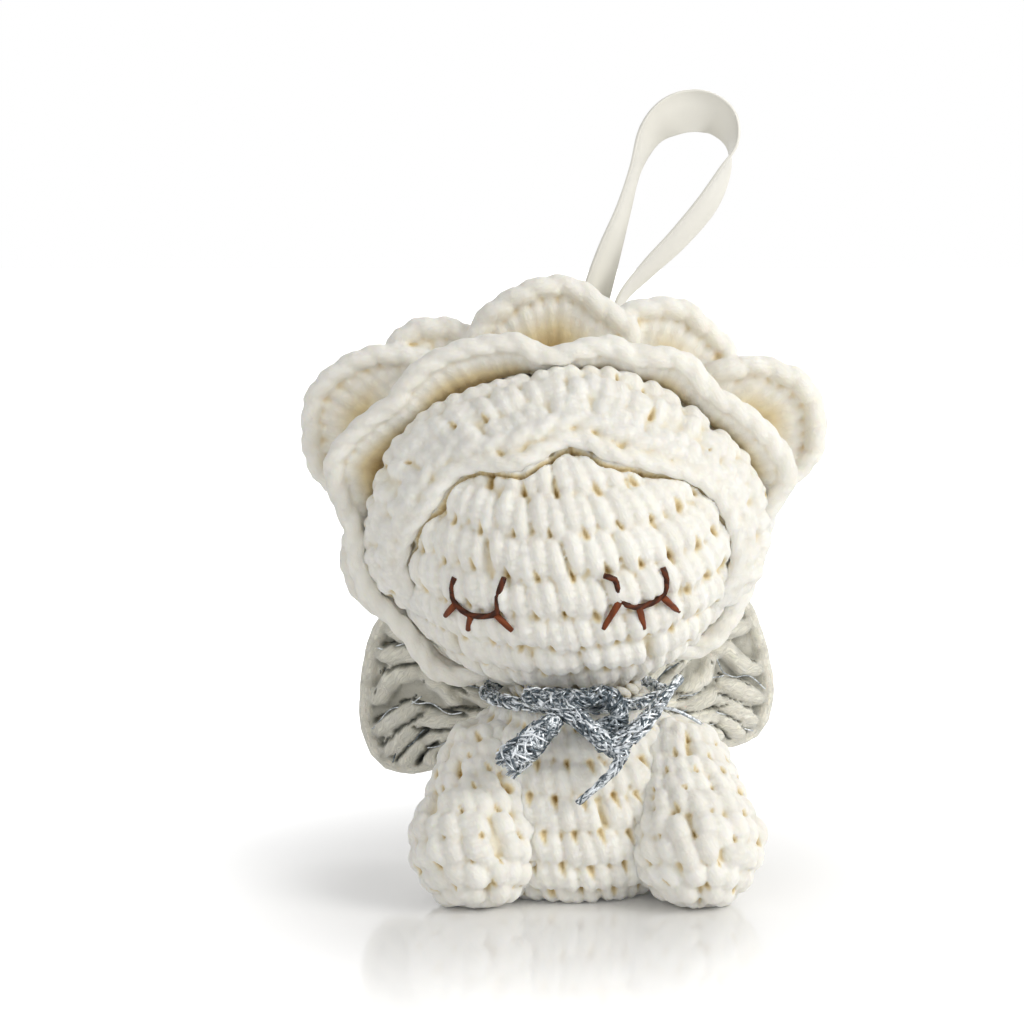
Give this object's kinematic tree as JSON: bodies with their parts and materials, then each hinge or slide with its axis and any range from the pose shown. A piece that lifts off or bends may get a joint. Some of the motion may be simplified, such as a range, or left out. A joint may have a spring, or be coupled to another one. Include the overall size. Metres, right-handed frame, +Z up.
{
  "type": "crocheted lion ornament",
  "caption": "Stuffed crocheted lion doll that sits upright, with a ruffled mane, closed embroidered eyes, small wings, a silver tie and a ribbon loop to hang it by.",
  "frame": {"origin": "centre of the flat base of the body", "axes": "+Z up, the face looks along -Y, +X to the right of someone facing the figure"},
  "size_m": [0.0684, 0.0446, 0.1049],
  "materials": {
    "cream_yarn": "matt cotton yarn, crocheted in plump single stitches",
    "fibre_filling": "loose polyester fibre",
    "wing_yarn": "grey cream yarn worked together with a thin silver thread",
    "silver_cord": "metallic silver chain stitch",
    "brown_thread": "stranded embroidery thread",
    "satin_ribbon": "ivory satin ribbon"
  },
  "bodies": {
    "body": {"body_cover": "cream_yarn", "body_stuffing": "fibre_filling", "neck_seam": "cream_yarn", "wing_left_seam": "cream_yarn", "wing_right_seam": "cream_yarn", "scarf_band": "silver_cord", "scarf_knot": "silver_cord", "scarf_tail_right": "silver_cord"},
    "head": {"head_cover": "cream_yarn", "head_stuffing": "fibre_filling", "mane_cap": "cream_yarn", "mane_fringe": "cream_yarn", "mane_middle_ruffle": "cream_yarn", "mane_outer_ruffle": "cream_yarn", "eye_left": "brown_thread", "eye_right": "brown_thread", "ribbon_anchor": "cream_yarn"},
    "ribbon": {"ribbon_loop": "satin_ribbon"},
    "leg_left": {"leg_left_cover": "cream_yarn", "leg_left_stuffing": "fibre_filling"},
    "leg_right": {"leg_right_cover": "cream_yarn", "leg_right_stuffing": "fibre_filling"},
    "wing_left": {"wing_left": "wing_yarn"},
    "wing_right": {"wing_right": "wing_yarn"},
    "tail_left": {"scarf_tail_left": "silver_cord"},
    "tail_middle": {"scarf_tail_middle": "silver_cord"}
  },
  "joints": [
    {"name": "head_turn", "type": "hinge", "parent": "body", "child": "head", "pos_m": [-0.0014, 0, 0.0266], "axis": [0, 0, 1], "range_deg": [-10, 10], "stiffness_Nm_per_rad": 0.02},
    {"name": "leg_left_swing", "type": "hinge", "parent": "body", "child": "leg_left", "pos_m": [-0.0109, -0.0005, 0.0233], "axis": [-1, 0, 0], "range_deg": [0, 10], "stiffness_Nm_per_rad": 0.01},
    {"name": "leg_right_swing", "type": "hinge", "parent": "body", "child": "leg_right", "pos_m": [0.0135, -0.0005, 0.0233], "axis": [-1, 0, 0], "range_deg": [0, 10], "stiffness_Nm_per_rad": 0.01},
    {"name": "wing_left_flap", "type": "hinge", "parent": "body", "child": "wing_left", "pos_m": [-0.0055, 0.0142, 0.0206], "axis": [0, 0, 1], "range_deg": [-25, 8], "stiffness_Nm_per_rad": 0.004},
    {"name": "wing_right_flap", "type": "hinge", "parent": "body", "child": "wing_right", "pos_m": [0.0055, 0.0142, 0.0206], "axis": [0, 0, -1], "range_deg": [-25, 8], "stiffness_Nm_per_rad": 0.004},
    {"name": "ribbon_swing", "type": "hinge", "parent": "head", "child": "ribbon", "pos_m": [0.0038, 0.0105, 0.0702], "axis": [0, 1, 0], "range_deg": [-50, 30], "stiffness_Nm_per_rad": 0.001},
    {"name": "tail_left_lift", "type": "hinge", "parent": "body", "child": "tail_left", "pos_m": [0.003, -0.0137, 0.0238], "axis": [-1, 0, 0], "range_deg": [0, 35], "stiffness_Nm_per_rad": 0.001},
    {"name": "tail_middle_lift", "type": "hinge", "parent": "body", "child": "tail_middle", "pos_m": [0.003, -0.0137, 0.0238], "axis": [-1, 0, 0], "range_deg": [0, 35], "stiffness_Nm_per_rad": 0.001}
  ]
}
